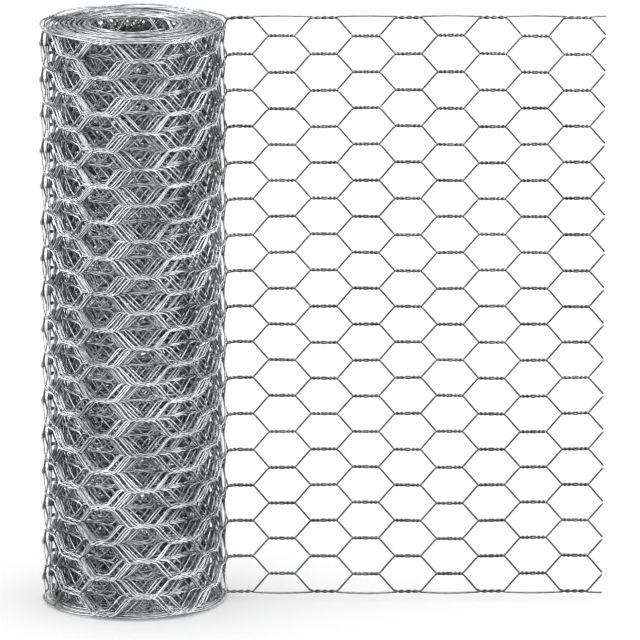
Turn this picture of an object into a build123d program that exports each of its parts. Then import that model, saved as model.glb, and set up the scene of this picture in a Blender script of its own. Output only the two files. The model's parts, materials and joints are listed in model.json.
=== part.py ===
"""A standing roll of hexagonal galvanised wire netting, with its loose end opened out flat.

Millimetres, +Z up. The origin is on the roll's axis, on the floor. The loose end leaves the
roll at +X and stands in the XZ plane. The rolled length is one turned body whose turns show as
rings on both ends. The loose end has its wires, with square sections, fused where they meet.
"""

import os
from math import asin, atan2, cos, pi, sin

from build123d import *

# Netting: the hexagonal mesh of galvanised wire, with one more wire along both edges
WIRE_DIAMETER = 1.3
MESH_SIZE = 25.0  # between two twists, one above the other
TWIST_LENGTH = 17.8  # between the two forks of a twist, along the netting
SLANT_RUN = 10.5  # from one column of twists to the next, along the netting
CELLS_ACROSS = 16
EDGE_BOW = 1.2  # how far the edge wire bows outwards between its twists

# Roll: turns of the netting round an open core, which lie in bands of three
CORE_RADIUS = 27.7
TURN_PITCH = 1.3
TURNS_PER_BAND = 3
BANDS = 9
BAND_STEP = 1.5  # how far every second band stands back at the ends of the roll

# Loose end: the length that stands open beside the roll
FLAP_COLUMNS = 9  # columns of twists, counted from the roll
FOLD_RADIUS = 6.0  # of the netting's middle, where it turns away from the roll
FOLD_TO_FORK = 9.9  # from the end of that fold to the first column's forks
LAP_LENGTH = 6.0  # how far the first column's bars still lie on the roll
SEAT_GAP = 0.2  # between those bars and the roll

# Worked out from the sizes above
TWIST_DIAMETER = 2 * WIRE_DIAMETER
HALF_MESH = MESH_SIZE / 2
COLUMN_PITCH = TWIST_LENGTH + SLANT_RUN
EDGE_MARGIN = EDGE_BOW + WIRE_DIAMETER / 2
NETTING_WIDTH = CELLS_ACROSS * MESH_SIZE + 2 * EDGE_MARGIN
BAND_WIDTH = TURNS_PER_BAND * TURN_PITCH
ROLL_RADIUS = CORE_RADIUS + BANDS * BAND_WIDTH

# Plan of the fold: a concentric lap on the roll, then an arc the other way, then straight
LAP_RADIUS = ROLL_RADIUS + SEAT_GAP + TWIST_DIAMETER / 2
FOLD_CENTRE_RADIUS = LAP_RADIUS + FOLD_RADIUS
LEAVING_ANGLE = asin(FOLD_RADIUS / FOLD_CENTRE_RADIUS)  # where the netting leaves the roll
LAP_ANGLE = LAP_LENGTH / LAP_RADIUS
FOLD_END_X = FOLD_CENTRE_RADIUS * cos(LEAVING_ANGLE)
FIRST_FORK_X = FOLD_END_X + FOLD_TO_FORK
CUT_X = FIRST_FORK_X + (FLAP_COLUMNS - 1) * COLUMN_PITCH + SLANT_RUN


def level(row):
    """Height of a row of twists. Rows are half a mesh apart, and row 0 is the bottom edge."""
    return EDGE_MARGIN + row * HALF_MESH


def fork_x(column):
    """Where the twists of a column end, on the side away from the roll. Column 1 is next to it."""
    return FIRST_FORK_X + (column - 1) * COLUMN_PITCH


def twist_rows(column):
    """The rows that have a twist in this column: even ones in odd columns, and odd in even."""
    return range((column + 1) % 2, 2 * CELLS_ACROSS + 1, 2)


def upright(sketch):
    """Stands a sketch drawn in X and height up in the XZ plane."""
    return Plane.XZ * sketch


def end_outline(face, inwards):
    """The rings of one end of the roll, from the core out: every second band stands back."""
    points = []
    for band in range(BANDS):
        inner = CORE_RADIUS + band * BAND_WIDTH
        height = face + inwards * BAND_STEP * (band % 2)
        points += [(inner, height), (inner + BAND_WIDTH, height)]
    return points


def rolled_netting():
    """The rolled length: one turned body with an open core."""
    outline = end_outline(0, 1) + end_outline(NETTING_WIDTH, -1)[::-1]
    half_section = make_face(Polyline(*outline, close=True))
    return revolve(upright(half_section), Axis.Z)


def cell_hole():
    """One hexagonal opening, centred on its own middle, between the wires around it."""
    slope = atan2(HALF_MESH, SLANT_RUN)
    side = HALF_MESH - WIRE_DIAMETER / 2
    # The slanted wires' inner sides meet at the tip and reach the twists' wires at the shoulder
    tip = TWIST_LENGTH / 2 + SLANT_RUN - WIRE_DIAMETER / 2 / sin(slope)
    shoulder = tip - side * SLANT_RUN / HALF_MESH
    right_half = [(shoulder, -side), (tip, 0), (shoulder, side)]
    left_half = [(-x, -y) for x, y in right_half]
    return make_face(Polyline(*right_half, *left_half, close=True))


def slanted_wires():
    """All the slanted wires of the loose end, as a sheet with its hexagonal openings cut out."""
    width = CUT_X - FIRST_FORK_X
    height = CELLS_ACROSS * MESH_SIZE
    sheet = Pos(FIRST_FORK_X + width / 2, EDGE_MARGIN + height / 2) * Rectangle(width, height)
    # In each column the openings lie on the rows that have no twist there
    holes = [
        Pos(fork_x(column) - TWIST_LENGTH / 2, level(row)) * cell_hole()
        for column in range(1, FLAP_COLUMNS + 2)
        for row in twist_rows(column + 1)
    ]
    return sheet - holes


def edge_bay(column, row, outwards):
    """The bare edge wire from one edge twist to the next: an arc that bows outwards."""
    start = fork_x(column)
    end = start + TWIST_LENGTH + 2 * SLANT_RUN
    middle = (start + end) / 2

    def side(offset):
        """One side of the wire, offset outwards from its middle line."""
        height = level(row) + outwards * offset
        return ThreePointArc((start, height), (middle, height + outwards * EDGE_BOW), (end, height))

    inner, outer = side(-WIRE_DIAMETER / 2), side(WIRE_DIAMETER / 2)
    return make_face([inner, outer, Line(inner @ 0, outer @ 0), Line(inner @ 1, outer @ 1)])


def edge_wires():
    """The bare stretches of both edge wires, up to the cut end."""
    edges = ((0, -1), (2 * CELLS_ACROSS, 1))
    bays = [
        edge_bay(column, row, outwards)
        for row, outwards in edges
        for column in range(1, FLAP_COLUMNS + 1, 2)
    ]
    past_cut = Rectangle(2 * COLUMN_PITCH, 2 * NETTING_WIDTH)
    return Sketch() + bays - Pos(CUT_X + COLUMN_PITCH, NETTING_WIDTH / 2) * past_cut


def twist(column, row):
    """One twist of two wires, as a square bar two wires thick."""
    bar = Box(TWIST_LENGTH, TWIST_DIAMETER, TWIST_DIAMETER)
    return Pos(fork_x(column) - TWIST_LENGTH / 2, 0, level(row)) * bar


def first_bar_plan():
    """Plan of a bar of the first column: it lies on the roll, turns away and runs to its fork."""

    def around(centre, radius, angle):
        return (centre[0] + radius * cos(angle), centre[1] + radius * sin(angle))

    def side(offset):
        """One long side of the plan, offset from its middle line away from the roll's axis."""
        axis, fold_centre = (0, 0), (FOLD_END_X, FOLD_RADIUS)
        lap, fold = LAP_RADIUS + offset, FOLD_RADIUS - offset
        lap_points = [
            around(axis, lap, LEAVING_ANGLE + LAP_ANGLE * share) for share in (1, 1 / 2, 0)
        ]
        fold_points = [
            around(fold_centre, fold, LEAVING_ANGLE + pi + (pi / 2 - LEAVING_ANGLE) * share)
            for share in (0, 1 / 2, 1)
        ]
        fork = (FIRST_FORK_X, FOLD_RADIUS - fold)
        return [ThreePointArc(*lap_points), ThreePointArc(*fold_points), Line(fold_points[-1], fork)]

    outer, inner = side(TWIST_DIAMETER / 2), side(-TWIST_DIAMETER / 2)
    caps = [Line(outer[0] @ 0, inner[0] @ 0), Line(outer[-1] @ 1, inner[-1] @ 1)]
    return make_face(outer + inner + caps)


def first_bars():
    """The bars of the first column: twists that carry on round the fold and onto the roll."""
    bar = extrude(first_bar_plan(), TWIST_DIAMETER)
    return [Pos(0, 0, level(row) - TWIST_DIAMETER / 2) * bar for row in twist_rows(1)]


def opened_flap():
    """The loose end: slanted wires, edge wires and twists, fused into one netting."""
    flat = upright(slanted_wires() + edge_wires())
    wires = extrude(flat, WIRE_DIAMETER / 2, both=True)
    twists = [
        twist(column, row)
        for column in range(2, FLAP_COLUMNS + 1)
        for row in twist_rows(column)
    ]
    return wires + first_bars() + twists


def main():
    os.makedirs("parts", exist_ok=True)
    export_step(rolled_netting(), "parts/netting_roll.step")
    export_step(opened_flap(), "parts/netting_flap.step")


if __name__ == "__main__":
    main()
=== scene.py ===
"""Looks of a standing roll of hexagonal galvanised wire netting with its loose end opened out.

The netting is made of its own wires, 32 mesh wires and two edge wires. Each runs from the cut end
along the opened length, round the fold and in turns to the core of the roll, as two tubes that
meet where the netting comes onto the roll. Sizes of the netting and its finish are in millimetres,
and a mesh is put into metres when it is made. Sizes of the studio are in metres.
"""

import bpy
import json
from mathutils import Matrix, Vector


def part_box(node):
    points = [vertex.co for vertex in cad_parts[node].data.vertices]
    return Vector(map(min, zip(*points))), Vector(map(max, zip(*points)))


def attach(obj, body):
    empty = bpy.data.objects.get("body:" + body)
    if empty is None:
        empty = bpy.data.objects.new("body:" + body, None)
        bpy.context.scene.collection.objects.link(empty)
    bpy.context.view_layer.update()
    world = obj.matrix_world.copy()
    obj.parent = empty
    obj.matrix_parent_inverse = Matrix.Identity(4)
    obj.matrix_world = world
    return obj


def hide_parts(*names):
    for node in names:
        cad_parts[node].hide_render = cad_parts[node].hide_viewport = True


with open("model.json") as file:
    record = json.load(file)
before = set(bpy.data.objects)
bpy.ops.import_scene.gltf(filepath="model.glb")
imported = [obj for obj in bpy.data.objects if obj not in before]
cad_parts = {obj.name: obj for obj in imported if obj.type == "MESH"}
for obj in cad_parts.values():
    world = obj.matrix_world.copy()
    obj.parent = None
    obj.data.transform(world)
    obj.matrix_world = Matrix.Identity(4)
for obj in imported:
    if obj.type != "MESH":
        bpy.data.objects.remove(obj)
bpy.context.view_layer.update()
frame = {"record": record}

import json
import logging
from dataclasses import dataclass, field
from enum import Enum
from math import asin, cos, pi, radians

import bpy
import numpy as np
from mathutils import Vector

MM = 0.001
FRONT_SHARE = 0.75  # of a turn, counted from +X round to the front at -Y

log = logging.getLogger("wire_netting")


def linear(hex_colour: str) -> tuple[float, float, float, float]:
    """Turns an sRGB hex colour into linear red, green, blue and alpha, by the sRGB curve.

    Args:
        hex_colour: the colour as "#rrggbb".

    Returns:
        The colour as a shader socket takes it.
    """
    srgb = [int(hex_colour[i : i + 2], 16) / 255 for i in (1, 3, 5)]
    red, green, blue = (c / 12.92 if c <= 0.04045 else ((c + 0.055) / 1.055) ** 2.4 for c in srgb)
    return red, green, blue, 1.0


def per_metre(size: float) -> float:
    """The texture scale at which a pattern's features are this many millimetres across."""
    return 1 / (size * MM)


def add_node(
    tree: bpy.types.NodeTree, kind: str, inputs: dict[str | int, object], **settings: object
) -> bpy.types.Node:
    """Adds one shader node with its settings, values and links.

    Args:
        tree: the node tree that it goes into.
        kind: the node's type.
        inputs: a value, or the output socket to link from, for each input's name or number.
        settings: the node's own options.

    Returns:
        The new node.
    """
    node = tree.nodes.new(kind)
    for option, value in settings.items():
        setattr(node, option, value)
    for socket, value in inputs.items():
        if isinstance(value, bpy.types.NodeSocket):
            tree.links.new(value, node.inputs[socket])
        else:
            node.inputs[socket].default_value = value
    return node


def empty_tree(owner: bpy.types.Material | bpy.types.World) -> bpy.types.NodeTree:
    """Gives a material or world an empty node tree.

    Args:
        owner: the material or world.

    Returns:
        Its node tree.
    """
    owner.use_nodes = True
    owner.node_tree.nodes.clear()
    return owner.node_tree


def seen_directly(tree: bpy.types.NodeTree) -> bpy.types.NodeSocket:
    """One for rays from the camera, off metal or through glass, and nothing for scattered light.

    Args:
        tree: the node tree that the test goes into.

    Returns:
        The output socket with that number.
    """
    path = add_node(tree, "ShaderNodeLightPath", {})
    total = path.outputs["Is Camera Ray"]
    for ray in ("Is Glossy Ray", "Is Transmission Ray"):
        total = add_node(
            tree, "ShaderNodeMath", {0: total, 1: path.outputs[ray]}, operation="MAXIMUM"
        ).outputs[0]
    return total


class Stretch(Enum):
    """The two stretches of the netting, with the node of the solid model that each stands for."""

    OPENED = "netting_flap"
    ROLLED = "netting_roll"


class Lay(Enum):
    """How the two wires of a twist are wound round each other."""

    REVERSED = "one way up to the middle of the twist, and back from there"
    ONE_WAY = "the same way from fork to fork"


@dataclass(frozen=True)
class Sampling:
    """How finely one column of the netting is drawn, and how often its twists are wound."""

    slant: int  # samples along the slant
    twist: int  # samples along the twist
    mesh_turns: float  # of two mesh wires, up to the middle of their twist
    edge_turns: int  # of an edge wire and a mesh wire, over their whole twist

    def shares(self, slant_share: float) -> np.ndarray:
        """Places of the samples in a column: evenly along its slant, then along its twist.

        Args:
            slant_share: the share of the column's length that the slant takes.

        Returns:
            Shares of the column's length, from 0 up to but not including 1.
        """
        slant = slant_share * np.arange(self.slant) / self.slant
        twist = slant_share + (1 - slant_share) * np.arange(self.twist) / self.twist
        return np.concatenate([slant, twist])


class Detail(Enum):
    """How much of a stretch of netting shows, which settles how finely it is drawn."""

    OPENED = Sampling(slant=8, twist=24, mesh_turns=1.5, edge_turns=2)
    OUTER_TURN = Sampling(slant=5, twist=12, mesh_turns=1, edge_turns=2)
    INNER_TURN = Sampling(slant=3, twist=5, mesh_turns=0.5, edge_turns=1)
    CORE_TURN = Sampling(slant=3, twist=4, mesh_turns=0.5, edge_turns=1)


@dataclass(frozen=True)
class Grid:
    """Places along the netting that all of its wires are worked out at.

    Each is given by its column and its share of that column's length, with the turns of the twists
    there, as Sampling counts them.
    """

    column: np.ndarray
    share: np.ndarray
    mesh_turns: np.ndarray
    edge_turns: np.ndarray

    @property
    def place(self) -> np.ndarray:
        """Distance from the cut end, in columns."""
        return self.column + self.share


@dataclass(frozen=True)
class Netting:
    """Hexagonal netting laid flat.

    A place along it is counted in columns from the cut end, and each column starts with its slants
    and ends with its twists. A place across it is a height above the bottom edge.
    """

    width: float
    wire: float = 1.3
    twist_length: float = 18.9
    slant_run: float = 9.4
    cells: int = 16
    edge_bow: float = 1.2
    fork_bend: float = 0.03  # share of the slant's run that the bend at a fork takes
    lay_change: float = 0.12  # share of half a twist in which its winding turns round

    @property
    def strand(self) -> float:
        """Distance from the middle of a twist to the middle of each of its two wires."""
        return self.wire / 2

    @property
    def mesh_wires(self) -> int:
        """Number of wires that make the cells."""
        return 2 * self.cells

    @property
    def column(self) -> float:
        """Length of netting that one column takes."""
        return self.twist_length + self.slant_run

    @property
    def slant_share(self) -> float:
        """Share of a column that its slant takes."""
        return self.slant_run / self.column

    def level(self, row: np.ndarray) -> np.ndarray:
        """Height of a row of twists. Row 0 is the bottom edge, and rows are half a mesh apart."""
        margin = self.edge_bow + self.wire / 2
        return margin + row * (self.width - 2 * margin) / self.mesh_wires

    def side(self, wire: np.ndarray, column: np.ndarray) -> np.ndarray:
        """One where a wire enters its twist as the upper one, and minus one where as the lower."""
        return 1 - 2 * ((wire + column) % 2)

    def seat(self, wire: np.ndarray, column: np.ndarray) -> np.ndarray:
        """Height at which a wire enters its twist, which is a strand's distance off its middle.

        Args:
            wire: numbers of the mesh wires, from the bottom up.
            column: numbers of the columns.

        Returns:
            A height for each pair of them. A wire goes to and fro between two rows.
        """
        row = wire + (wire + column) % 2
        return self.level(row) + self.side(wire, column) * self.strand

    def ramp(self, run: np.ndarray) -> np.ndarray:
        """A straight rise from 0 to 1 with rounded ends: half the difference of two hyperbolas."""
        return (np.hypot(run, self.fork_bend) - np.hypot(run - 1, self.fork_bend) + 1) / 2

    def twist_share(self, grid: Grid) -> np.ndarray:
        """How far along its twist each place is, from 0 to 1, and 0 all along the slants."""
        return np.clip((grid.share - self.slant_share) / (1 - self.slant_share), 0, 1)

    def winding(self, lay: Lay, share: np.ndarray, turns: np.ndarray) -> np.ndarray:
        """Angle by which the two wires of a twist have been wound round each other.

        A one-way lay goes in proportion to the place. A reversed lay goes with the distance from
        the middle, taken as a hyperbola so that it turns round smoothly.

        Args:
            lay: how the twist is wound.
            share: places along the twist, from 0 to 1.
            turns: number of turns, up to the middle for a reversed lay.

        Returns:
            Angles in radians.
        """
        if lay is Lay.ONE_WAY:
            return -2 * pi * turns * share
        highest = np.hypot(1, self.lay_change)
        from_middle = np.hypot(2 * share - 1, self.lay_change)
        return -2 * pi * turns * (highest - from_middle) / (highest - self.lay_change)

    def mesh_lines(self, grid: Grid) -> tuple[np.ndarray, np.ndarray]:
        """Middle lines of the mesh wires.

        A wire's height goes from its seat in one column to its seat in the next by a ramp over the
        slant, and in a twist it circles the twist's middle at a strand's distance.

        Args:
            grid: the places along the netting.

        Returns:
            Heights and distances out of the netting's plane, one row for each wire.
        """
        wire = np.arange(self.mesh_wires)[:, None]
        before, here, after = (self.seat(wire, grid.column + step) for step in (-1, 0, 1))
        run = grid.share / self.slant_share
        run_on = (grid.share - 1) / self.slant_share
        height = before + (here - before) * self.ramp(run) + (after - here) * self.ramp(run_on)
        outermost = (wire == 0) | (wire == self.mesh_wires - 1)
        with_edge = outermost & (grid.column % 2 == 0)
        share = self.twist_share(grid)
        angle = np.where(
            with_edge,
            self.winding(Lay.ONE_WAY, share, grid.edge_turns),
            self.winding(Lay.REVERSED, share, grid.mesh_turns),
        )
        lift = self.side(wire, grid.column) * self.strand
        return height + lift * (np.cos(angle) - 1), lift * np.sin(angle)

    def edge_lines(self, grid: Grid) -> tuple[np.ndarray, np.ndarray]:
        """Middle lines of the bottom and the top edge wire.

        In every even column an edge wire circles the twist's middle, opposite the mesh wire. From
        there to the next such twist it is bare, and bows outwards as a parabola.

        Args:
            grid: the places along the netting.

        Returns:
            Heights and distances out of the netting's plane, one row for each edge wire.
        """
        outwards = np.array([[-1], [1]])
        row = np.array([[0], [self.mesh_wires]])
        even = grid.column % 2 == 0
        twisted = even & (grid.share >= self.slant_share)
        bare = np.where(even, 1 + grid.share, grid.share) / (1 + self.slant_share)
        bow = np.where(twisted, 0, 4 * bare * (1 - bare)) * (self.edge_bow - self.strand)
        winding = self.winding(Lay.ONE_WAY, self.twist_share(grid), grid.edge_turns)
        angle = np.where(twisted, winding, 0)
        lift = outwards * self.strand
        return self.level(row) + lift * np.cos(angle) + outwards * bow, lift * np.sin(angle)


@dataclass(frozen=True)
class Route:
    """Plan of the netting's middle: its points, the direction out of the roll, and turns wound."""

    points: np.ndarray
    outwards: np.ndarray
    turn: np.ndarray


@dataclass(frozen=True)
class RollPlan:
    """Plan of the netting: straight from the cut end, round the fold, and in turns to the core."""

    cut_x: float
    outer_radius: float
    inner_radius: float
    column: float
    turns: int = 27
    band_turns: int = 3
    band_start: float = 0.3  # angle of the bands' wave where the netting meets the roll
    fold_radius: float = 6.0
    loose: float = 2.4  # how far the outermost turn stands off the next, on the left
    banding: float = 0.72  # how far turns stand to and fro, which gathers them into bands
    wander: float = 0.15  # how uneven a turn is
    wander_rate: float = 1.37  # waves of that in a turn
    wander_start: float = 0.6  # angle of those waves where the netting meets the roll
    nested_turns: int = 8  # turns from the outside in that have settled into each other
    nesting: float = 0.02  # share of a cell by which each further one of them is to one side
    scatter: float = 0.28  # share of a cell by which they part again at the back of the roll
    scatter_step: float = 2.4  # angle from one turn to the next in the sine that parts them
    stagger: float = 0.398  # share of a cell by which each turn inside them is off the one before
    steps: int = 40000  # of the table that turns columns into angles

    @property
    def leaving_angle(self) -> float:
        """Angle round the roll at which the netting leaves it for the fold."""
        return asin(self.fold_radius / (self.outer_radius + self.fold_radius))

    @property
    def fold_x(self) -> float:
        """Where the fold ends and the opened length starts."""
        return (self.outer_radius + self.fold_radius) * cos(self.leaving_angle)

    @property
    def opened_length(self) -> float:
        """Length of the straight stretch."""
        return self.cut_x - self.fold_x

    @property
    def fold_length(self) -> float:
        """Length of the netting's middle round the fold."""
        return self.fold_radius * (pi / 2 - self.leaving_angle)

    @property
    def front_turn(self) -> float:
        """Share of a turn after which the netting first comes to the front of the roll."""
        return FRONT_SHARE - self.leaving_angle / (2 * pi)

    def band_angle(self, turn: np.ndarray) -> np.ndarray:
        """Angle that goes once round from the middle of one band of turns to that of the next."""
        return 2 * pi * turn / self.band_turns + self.band_start

    def even_radius(self, turn: np.ndarray) -> np.ndarray:
        """Radius of an even spiral, in the same steps all the way to the core."""
        return self.outer_radius - (self.outer_radius - self.inner_radius) * turn / self.turns

    def radius(self, turn: np.ndarray) -> np.ndarray:
        """Radius of the spiral: even steps inwards, a gap on the left and two slow waves.

        The gap goes with the fourth power of a sine. All turns but the outermost are further in by
        it, less so towards the core. The waves are sines that grow over the first turn.

        Args:
            turn: turns from where the netting meets the roll.

        Returns:
            Radii of the netting's middle.
        """
        inside = np.where(turn < 1, 0, 1 - turn / self.turns)
        gap = self.loose * np.sin(pi * turn) ** 4 * inside
        bands = self.banding * np.sin(self.band_angle(turn))
        waves = self.wander * np.sin(2 * pi * self.wander_rate * turn + self.wander_start)
        return self.even_radius(turn) - gap + np.clip(turn, 0, 1) * (bands + waves)

    def winding_table(self) -> tuple[np.ndarray, np.ndarray]:
        """Columns of netting wound up to each angle.

        The outer turns have settled into each other, so from one front to the next they have a
        whole number of cells, the nearest to what fits. Inside them each turn has a part of a cell
        more than a whole number, so that its wires cross the gaps of the others. An outer turn is
        a little to one side of the one outside it, to and fro, and more so inwards. At the back,
        half a turn from one front to the next, these turns part by the square of a sine, each by
        its own share.

        Returns:
            Turns, and the columns that they have taken.
        """
        turn = np.linspace(0, self.turns, self.steps)
        from_front = turn - self.front_turn
        number = np.floor(from_front)
        middle = number + self.front_turn + 0.5
        nested = middle < self.nested_turns
        # A cell takes two columns of netting
        fitting = 2 * pi * self.even_radius(middle) / (2 * self.column)
        staggered = np.round(fitting - self.stagger) + self.stagger
        cells = np.where(nested, np.round(fitting), staggered)
        wound = np.concatenate([[0], np.cumsum(cells[1:] * np.diff(turn))])
        # Plus one at one front and minus one at the next
        to_and_fro = 2**0.5 * np.cos(pi * from_front - pi / 4)
        aside = self.nesting * np.clip(turn, 0, self.nested_turns) * to_and_fro
        own_share = np.where(nested, np.sin(self.scatter_step * number), 0)
        parted = self.scatter * own_share * np.sin(pi * from_front) ** 2
        return turn, 2 * (wound + aside + parted)

    def columns(self) -> float:
        """Columns of netting from the cut end to the core."""
        return self.columns_before_roll() + self.winding_table()[1][-1]

    def columns_before_roll(self) -> float:
        """Columns of netting from the cut end to where it meets the roll."""
        return (self.opened_length + self.fold_length) / self.column

    def turn_at(self, place: np.ndarray) -> np.ndarray:
        """Turns wound at each place, and nothing before the roll."""
        turn, wound = self.winding_table()
        return np.interp(place - self.columns_before_roll(), wound, turn)

    def route(self, place: np.ndarray) -> Route:
        """Puts places along the netting into the plan.

        The opened stretch goes straight along X. The fold is an arc that starts in front of its
        centre. On the roll, the angle goes with the turns wound, and the radius is the spiral's.

        Args:
            place: distances from the cut end, in columns.

        Returns:
            The plan at those places.
        """
        length = place * self.column
        straight = np.stack([self.cut_x - length, np.zeros_like(length)], axis=-1)
        fold_angle = 2 * pi * FRONT_SHARE - (length - self.opened_length) / self.fold_radius
        round_fold = np.stack([np.cos(fold_angle), np.sin(fold_angle)], axis=-1)
        fold = np.array([self.fold_x, self.fold_radius]) + self.fold_radius * round_fold
        turn = self.turn_at(place)
        angle = self.leaving_angle + 2 * pi * turn
        round_roll = np.stack([np.cos(angle), np.sin(angle)], axis=-1)
        roll = self.radius(turn)[:, None] * round_roll
        on_straight = (length < self.opened_length)[:, None]
        on_fold = (length < self.opened_length + self.fold_length)[:, None]
        points = np.where(on_straight, straight, np.where(on_fold, fold, roll))
        outwards = np.where(on_straight, [0.0, 1.0], np.where(on_fold, -round_fold, round_roll))
        return Route(points, outwards, turn)


@dataclass(frozen=True)
class GalvanisedWire:
    """Hot-dip galvanised steel wire: dull grey zinc with paler and darker crystals along it.

    The zinc gives the eye a soft metal sheen, not a mirror: light gathers in a broad line along
    each wire, and the line breaks up where the coat is rougher.
    """

    zinc: str = "#acadae"
    dark_zinc: str = "#5e5f60"
    grey_range: tuple[float, float] = (0.7, 1.3)  # crystals plus patches, from dark to pale
    roughness: tuple[float, float] = (0.45, 0.62)
    rough_range: tuple[float, float] = (0.3, 0.7)  # crystals, from the smoothest to the roughest
    crystal: float = 4.0  # coarser than the crystals on real wire, so that they show
    patch: float = 45.0
    grain: float = 0.6
    grain_depth: float = 0.1
    grain_strength: float = 0.25

    def material(self) -> bpy.types.Material:
        """Builds the material: two greys mixed by crystals and patches, with a fine grain.

        Returns:
            The material, which is rougher where its crystals are paler.
        """
        made = bpy.data.materials.new("galvanised_steel_wire")
        tree = empty_tree(made)
        place = add_node(tree, "ShaderNodeTexCoord", {}).outputs["Object"]
        crystals = add_node(
            tree,
            "ShaderNodeTexNoise",
            {"Vector": place, "Scale": per_metre(self.crystal), "Detail": 3.0, "Roughness": 0.6},
        )
        patches = add_node(
            tree,
            "ShaderNodeTexNoise",
            {"Vector": place, "Scale": per_metre(self.patch), "Detail": 2.0, "Roughness": 0.5},
        )
        both = add_node(
            tree,
            "ShaderNodeMath",
            {0: crystals.outputs["Fac"], 1: patches.outputs["Fac"]},
            operation="ADD",
        )
        pale = add_node(
            tree,
            "ShaderNodeMapRange",
            {
                "Value": both.outputs[0],
                "From Min": self.grey_range[0],
                "From Max": self.grey_range[1],
            },
        )
        # Inputs 6 and 7 are the two colours, and output 2 is their mix
        colour = add_node(
            tree,
            "ShaderNodeMix",
            {"Factor": pale.outputs["Result"], 6: linear(self.dark_zinc), 7: linear(self.zinc)},
            data_type="RGBA",
        )
        grain = add_node(
            tree,
            "ShaderNodeTexNoise",
            {"Vector": place, "Scale": per_metre(self.grain), "Detail": 2.0},
        )
        rough = add_node(
            tree,
            "ShaderNodeMapRange",
            {
                "Value": crystals.outputs["Fac"],
                "From Min": self.rough_range[0],
                "From Max": self.rough_range[1],
                "To Min": self.roughness[0],
                "To Max": self.roughness[1],
            },
        )
        bump = add_node(
            tree,
            "ShaderNodeBump",
            {
                "Height": grain.outputs["Fac"],
                "Strength": self.grain_strength,
                "Distance": self.grain_depth * MM,
            },
        )
        shader = add_node(
            tree,
            "ShaderNodeBsdfPrincipled",
            {
                "Base Color": colour.outputs[2],
                "Metallic": 1.0,
                "Roughness": rough.outputs["Result"],
                "Normal": bump.outputs["Normal"],
            },
        )
        add_node(tree, "ShaderNodeOutputMaterial", {"Surface": shader.outputs[0]})
        return made


@dataclass(frozen=True)
class StudioPaper:
    """White paper on the studio floor: it shows white, and takes only a soft shadow."""

    colour: str = "#ffffff"
    share: float = 0.91  # of the light on it that it gives back
    glow: float = 0.13  # added for rays that see it directly

    def material(self) -> bpy.types.Material:
        """Builds the material: matt paper, with a glow for rays that see it directly.

        Returns:
            The material.
        """
        made = bpy.data.materials.new("white_paper")
        tree = empty_tree(made)
        glow = add_node(
            tree,
            "ShaderNodeMath",
            {0: seen_directly(tree), 1: self.glow},
            operation="MULTIPLY",
        )
        paper = [c * self.share for c in linear(self.colour)[:3]] + [1.0]
        shader = add_node(
            tree,
            "ShaderNodeBsdfPrincipled",
            {
                "Base Color": paper,
                "Roughness": 1.0,
                "Specular IOR Level": 0.0,
                "Emission Color": linear(self.colour),
                "Emission Strength": glow.outputs[0],
            },
        )
        add_node(tree, "ShaderNodeOutputMaterial", {"Surface": shader.outputs[0]})
        return made


@dataclass(frozen=True)
class TentCloth:
    """Black studio cloth: matt, and nearly nothing comes back from it."""

    colour: str = "#1c1c1c"

    def material(self) -> bpy.types.Material:
        """Builds the material: one matt dark colour.

        Returns:
            The material.
        """
        made = bpy.data.materials.new("black_cloth")
        tree = empty_tree(made)
        shader = add_node(
            tree,
            "ShaderNodeBsdfPrincipled",
            {"Base Color": linear(self.colour), "Roughness": 1.0, "Specular IOR Level": 0.0},
        )
        add_node(tree, "ShaderNodeOutputMaterial", {"Surface": shader.outputs[0]})
        return made


@dataclass(frozen=True)
class Wave:
    """A slow wave over the netting: its lengths along and across it, and its angle at the start."""

    along: float
    across: float
    start: float

    def at(self, length: np.ndarray, height: np.ndarray) -> np.ndarray:
        """The wave at places on the netting, from minus one to one: the sine of its angle there."""
        return np.sin(2 * pi * (length / self.along + height / self.across) + self.start)


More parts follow.
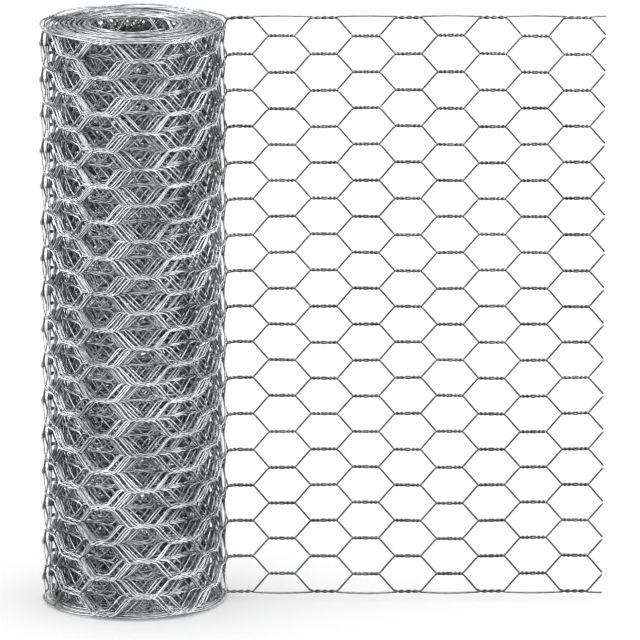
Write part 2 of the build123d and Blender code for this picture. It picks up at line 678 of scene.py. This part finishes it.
@dataclass
class WoundNetting:
    """The whole length of netting: its wires along the opened end and in the turns of the roll."""

    netting: Netting
    plan: RollPlan
    finish: GalvanisedWire = field(default_factory=GalvanisedWire)
    opened_sides: int = 6  # of a wire's section
    rolled_sides: int = 5
    bundle: int = 4  # mesh wires in one piece
    outer_turns: int = 3  # turns that show whole
    inner_turns: int = 10  # turns that show through those, counted from the outside too
    ripple: float = 0.2  # how far wires are off their even places
    inner_ripple: float = 4.4  # the same for their heights at the core
    calm_edge: float = 20.0  # distance from an edge in which the heights come to rest
    sway: float = 0.9  # how far the opened end stands to and fro
    set_back: float = 2.0  # of the turns between two bands, at both ends of the roll
    uneven: float = 1.0  # how much further back some bands stand than others
    uneven_bands: float = 2.8  # bands from one such to the next
    settling: float = 32.0  # length from the fold on in which the netting takes the roll's height
    sag: float = 4.5  # how far the rolled netting has settled below the opened end's top
    lift: float = 3.0  # how far the opened end's bottom edge hangs off the floor
    along_wave: Wave = Wave(260, 170, 1.3)
    up_waves: tuple[Wave, ...] = (Wave(140, 230, 4.9), Wave(105, -140, 1.1))
    sway_wave: Wave = Wave(240, 520, 0.4)

    def grid(self) -> Grid:
        """Lays out the samples column by column, fine where the netting shows and coarse inside.

        Returns:
            The places at which all wires are worked out.
        """
        column = np.arange(int(self.plan.columns()))
        turn = self.plan.turn_at(column)
        # In the order of Detail, whose last member is for all that is left
        limits = [
            column < self.plan.columns_before_roll(),
            turn < self.outer_turns,
            turn < self.inner_turns,
        ]
        wanted = np.select(limits, list(range(len(limits))), len(limits))
        details = list(Detail)
        samplings = [details[number].value for number in wanted]
        shares = [sampling.shares(self.netting.slant_share) for sampling in samplings]
        counts = [len(share) for share in shares]
        return Grid(
            column=np.repeat(column, counts),
            share=np.concatenate(shares),
            mesh_turns=np.repeat([sampling.mesh_turns for sampling in samplings], counts),
            edge_turns=np.repeat([sampling.edge_turns for sampling in samplings], counts),
        )

    def lines(
        self, grid: Grid, height: np.ndarray, out: np.ndarray
    ) -> tuple[np.ndarray, np.ndarray]:
        """Bends flat wires onto the plan and gives the netting its unevenness.

        Slow waves shift the wires along the netting and up it. The shift up grows with the third
        power of the turns to the core, and comes to rest at both edges. The opened end sways out of
        its plane, less so towards the roll. Its bottom edge hangs off the floor, and from the fold
        on it settles by a parabola to the roll's height, where the top edge has sagged. On the roll
        the turns between two bands are narrower, by a cosine, and stand back at both ends.

        Args:
            grid: the places along the netting.
            height: heights of the wires at those places.
            out: distances of the wires out of the netting's plane.

        Returns:
            The wires' middle lines, and the direction out of the roll at each place.
        """
        route = self.plan.route(grid.place)
        length = grid.place * self.netting.column
        along = self.ripple * self.along_wave.at(length, height)
        deep = (route.turn / self.plan.turns) ** 3
        from_edge = np.minimum(height, self.netting.width - height)
        up = sum(wave.at(length, height) for wave in self.up_waves)
        up *= self.ripple + (self.inner_ripple - self.ripple) * deep
        up *= np.clip(from_edge / self.calm_edge, 0, 1)
        opened = np.clip(1 - grid.place / self.plan.columns_before_roll(), 0, 1)
        across = out + self.sway * opened * self.sway_wave.at(length, height)
        to_settle = 1 - np.clip((length - self.plan.opened_length) / self.settling, 0, 1)
        settled = 1 - to_settle**2
        band = self.plan.band_angle(route.turn)
        back = self.set_back * (1 - np.cos(band)) / 2
        back += self.uneven * (1 - np.cos(band / self.uneven_bands)) / 2
        low = settled * back + (1 - settled) * self.lift
        high = self.netting.width - settled * (back + self.sag)
        level = low + (height + up) * (high - low) / self.netting.width
        side = np.stack([-route.outwards[:, 1], route.outwards[:, 0]], axis=-1)
        x = route.points[:, 0] + route.outwards[:, 0] * across + side[:, 0] * along
        y = route.points[:, 1] + route.outwards[:, 1] * across + side[:, 1] * along
        outwards = np.concatenate([route.outwards, np.zeros((len(length), 1))], axis=1)
        return np.stack([x, y, level], axis=-1), outwards

    def tubes(self, lines: np.ndarray, outwards: np.ndarray, sides: int) -> np.ndarray:
        """Carries a round section along each line.

        The section stands square to the mean of the two stretches that meet at a point. One of its
        directions is the direction out of the roll, less its part along the wire, and the other is
        square to both. A point of it is their sum, by the cosine and the sine of its angle.

        Args:
            lines: the middle lines, as wires by places by three.
            outwards: the direction out of the roll at each place.
            sides: number of sides of the section.

        Returns:
            Points as wires by places by sides by three.
        """
        stretch = np.diff(lines, axis=1)
        stretch /= np.linalg.norm(stretch, axis=2, keepdims=True)
        between = stretch[:, :-1] + stretch[:, 1:]
        ahead = np.concatenate([stretch[:, :1], between, stretch[:, -1:]], axis=1)
        ahead /= np.linalg.norm(ahead, axis=2, keepdims=True)
        first = outwards - (outwards * ahead).sum(axis=2, keepdims=True) * ahead
        first /= np.linalg.norm(first, axis=2, keepdims=True)
        second = np.cross(ahead, first)
        angle = 2 * pi * np.arange(sides)[:, None] / sides
        section = np.cos(angle) * first[:, :, None] + np.sin(angle) * second[:, :, None]
        return lines[:, :, None] + self.netting.wire / 2 * section

    def mesh(self, name: str, tubes: np.ndarray) -> bpy.types.Mesh:
        """Makes one closed mesh of tubes: four-sided faces along them and a cap on both ends.

        Args:
            name: the mesh's name.
            tubes: points as wires by places by sides by three.

        Returns:
            The mesh, in metres.
        """
        wires, places, sides, _ = tubes.shape
        number = np.arange(wires * places * sides).reshape(wires, places, sides)
        turned = np.roll(number, -1, axis=2)
        walls = np.stack(
            [number[:, :-1], turned[:, :-1], turned[:, 1:], number[:, 1:]], axis=-1
        ).reshape(-1, 4)
        caps = np.concatenate([number[:, 0, ::-1], number[:, -1]])
        made = bpy.data.meshes.new(name)
        made.from_pydata(tubes.reshape(-1, 3) * MM, [], walls.tolist() + caps.tolist())
        smooth = np.arange(len(made.polygons)) < len(walls)
        made.polygons.foreach_set("use_smooth", smooth)
        made.update()
        return made

    def build(self) -> dict[Stretch, list[bpy.types.Object]]:
        """Builds the wires: the mesh wires in bundles of neighbours, and both edge wires.

        Each wire is made in two lengths, which meet where the netting comes onto the roll.

        Returns:
            The pieces of each stretch.
        """
        grid = self.grid()
        heights, outs = self.netting.mesh_lines(grid)
        groups = {}
        for number, first in enumerate(range(0, self.netting.mesh_wires, self.bundle), start=1):
            members = slice(first, first + self.bundle)
            groups[f"mesh_wires_{number}"] = heights[members], outs[members]
        groups["edge_wires"] = self.netting.edge_lines(grid)
        meet = int(np.searchsorted(grid.place, self.plan.columns_before_roll()))
        stretches = {
            Stretch.OPENED: (slice(0, meet + 1), self.opened_sides),
            Stretch.ROLLED: (slice(meet, None), self.rolled_sides),
        }
        pieces = {stretch: [] for stretch in Stretch}
        for group, (height, out) in groups.items():
            lines, outwards = self.lines(grid, height, out)
            for stretch, (part, sides) in stretches.items():
                name = f"{stretch.name.lower()}_{group}"
                mesh = self.mesh(name, self.tubes(lines[:, part], outwards[part], sides))
                piece = bpy.data.objects.new(name, mesh)
                bpy.context.scene.collection.objects.link(piece)
                pieces[stretch].append(piece)
        return pieces

    def dress(self, pieces: dict[Stretch, list[bpy.types.Object]]) -> None:
        """Gives the wires their finish and ties them to the frame.

        Args:
            pieces: the pieces of each stretch, as build() made them.
        """
        material = self.finish.material()
        for stretch, wires in pieces.items():
            for piece in wires:
                piece.data.materials.append(material)
                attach(piece, "root")
                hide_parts(stretch.value)
                log.info("%s: %d faces", piece.name, len(piece.data.polygons))


@dataclass(frozen=True)
class Lamp:
    """A soft box: where it hangs and aims, its width and height in metres, and its watts.

    Flags keep its light on the stretches of netting that it names, and off the floor.
    """

    name: str
    place: tuple[float, float, float]
    aim: tuple[float, float, float]
    size: tuple[float, float]
    power: float
    lights: tuple[Stretch, ...]


@dataclass
class Studio:
    """Floor, cloth, light and camera."""

    floor_half: float = 8.0
    tent_start: float = 0.065  # distance from the roll's axis at which the cloth starts
    tent_radius: float = 4.5
    tent_rise: float = 1.4  # angle that the cloth goes up and over, less than a quarter circle
    tent_lift: float = 0.0005  # of the cloth off the floor
    tent_rows: int = 17  # points of the cloth up and over
    tent_columns: int = 33  # points of the cloth round its half circle
    surround: str = "#ffffff"
    ambient: float = 1.1  # strength of the light from all round
    shown: float = 1.0  # strength of the surround where it is seen directly
    paper: StudioPaper = field(default_factory=StudioPaper)
    cloth: TentCloth = field(default_factory=TentCloth)
    lamps: tuple[Lamp, ...] = (
        Lamp("left_softbox", (-1.6, -0.6, 0.9), (0, 0, 0.2), (0.9, 1.3), 100, (Stretch.ROLLED,)),
        Lamp("right_softbox", (1.6, -0.6, 0.9), (0, 0, 0.2), (0.9, 1.3), 88, (Stretch.ROLLED,)),
        Lamp("front_softbox", (0.1, -3, 0.5), (0, 0, 0.2), (1.6, 0.9), 98, (Stretch.ROLLED,)),
        Lamp("top_softbox", (0, -0.5, 2), (0, 0, 0.3), (1.2, 0.8), 30, (Stretch.ROLLED,)),
        Lamp("far_softbox", (0.2, -0.9, 2), (0.2, 0, 0.2), (1.2, 0.8), 60, (Stretch.OPENED,)),
    )
    camera_place: tuple[float, float, float] = (0.1255, -7.0, 1.8411)
    camera_pitch: float = 13.243  # degrees below level
    focal_widths: float = 16.6668  # focal length in widths of the picture
    sensor: float = 36.0  # millimetres

    def build_floor(self) -> None:
        """Lays the paper that the roll stands on."""
        half = self.floor_half
        corners = [(-half, -half, 0), (half, -half, 0), (half, half, 0), (-half, half, 0)]
        mesh = bpy.data.meshes.new("studio_floor")
        mesh.from_pydata(corners, [], [(0, 1, 2, 3)])
        mesh.materials.append(self.paper.material())
        floor = bpy.data.objects.new("studio_floor", mesh)
        bpy.context.scene.collection.objects.link(floor)

    def build_tent(self) -> None:
        """Hangs black cloth over the camera's half of the studio, which only reflections show.

        A line is carried round a half circle: out along the floor from beside the roll, and from
        there up and over by the cosine and the sine of its angle.
        """
        rise = np.linspace(0, self.tent_rise, self.tent_rows)
        out = np.append(self.tent_start, self.tent_radius * np.cos(rise))
        height = self.tent_lift + np.append(0, self.tent_radius * np.sin(rise))
        angle = np.linspace(pi, 2 * pi, self.tent_columns)[:, None]
        points = np.stack([out * np.cos(angle), out * np.sin(angle), height + 0 * angle], axis=-1)
        number = np.arange(points.size // 3).reshape(points.shape[:2])
        faces = np.stack(
            [number[:-1, :-1], number[1:, :-1], number[1:, 1:], number[:-1, 1:]], axis=-1
        ).reshape(-1, 4)
        mesh = bpy.data.meshes.new("black_tent")
        mesh.from_pydata(points.reshape(-1, 3), [], faces.tolist())
        mesh.materials.append(self.cloth.material())
        tent = bpy.data.objects.new("black_tent", mesh)
        tent.visible_camera = False
        tent.visible_diffuse = False
        tent.visible_shadow = False
        bpy.context.scene.collection.objects.link(tent)

    def build_lamps(self, pieces: dict[Stretch, list[bpy.types.Object]]) -> None:
        """Hangs the soft boxes, aims them and sets the flags that keep their light apart.

        Args:
            pieces: the pieces of each stretch of the netting.
        """
        for lamp in self.lamps:
            light = bpy.data.lights.new(lamp.name, "AREA")
            light.shape = "RECTANGLE"
            light.size, light.size_y = lamp.size
            light.energy = lamp.power
            box = bpy.data.objects.new(lamp.name, light)
            box.location = lamp.place
            towards = Vector(lamp.aim) - box.location
            box.rotation_euler = towards.to_track_quat("-Z", "Y").to_euler()
            box.visible_camera = False
            lit = bpy.data.collections.new(f"lit_by_{lamp.name}")
            for stretch in lamp.lights:
                for piece in pieces[stretch]:
                    lit.objects.link(piece)
            box.light_linking.receiver_collection = lit
            bpy.context.scene.collection.objects.link(box)

    def build_surround(self) -> None:
        """Gives the studio its white surround, which also lights it softly from all round."""
        world = bpy.data.worlds.new("studio_surround")
        tree = empty_tree(world)
        light, white = (
            add_node(
                tree,
                "ShaderNodeBackground",
                {"Color": linear(self.surround), "Strength": strength},
            )
            for strength in (self.ambient, self.shown)
        )
        mix = add_node(
            tree,
            "ShaderNodeMixShader",
            {0: seen_directly(tree), 1: light.outputs[0], 2: white.outputs[0]},
        )
        add_node(tree, "ShaderNodeOutputWorld", {"Surface": mix.outputs[0]})
        bpy.context.scene.world = world

    def build_camera(self) -> None:
        """Sets the camera up: far off with a long lens, looking a little down."""
        lens = bpy.data.cameras.new("camera")
        lens.sensor_width = self.sensor
        lens.lens = self.focal_widths * self.sensor
        camera = bpy.data.objects.new("camera", lens)
        camera.location = self.camera_place
        camera.rotation_euler = (radians(90 - self.camera_pitch), 0, 0)
        bpy.context.scene.collection.objects.link(camera)
        bpy.context.scene.camera = camera
        bpy.context.scene.view_settings.view_transform = "Standard"


def main() -> None:
    logging.basicConfig(level=logging.INFO)
    roll_low, roll_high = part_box(Stretch.ROLLED.value)
    flap_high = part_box(Stretch.OPENED.value)[1]
    bore = next(m for m in frame["record"]["mounts"] if m["name"] == "core_bore")
    netting = Netting(width=(roll_high[2] - roll_low[2]) / MM)
    plan = RollPlan(
        cut_x=flap_high[0] / MM,
        outer_radius=roll_high[0] / MM - netting.wire / 2,
        inner_radius=bore["dims"]["r_mm"] + netting.wire,
        column=netting.column,
    )
    wound = WoundNetting(netting, plan)
    pieces = wound.build()
    wound.dress(pieces)
    studio = Studio()
    studio.build_floor()
    studio.build_tent()
    studio.build_lamps(pieces)
    studio.build_surround()
    studio.build_camera()


if __name__ == "__main__":
    main()
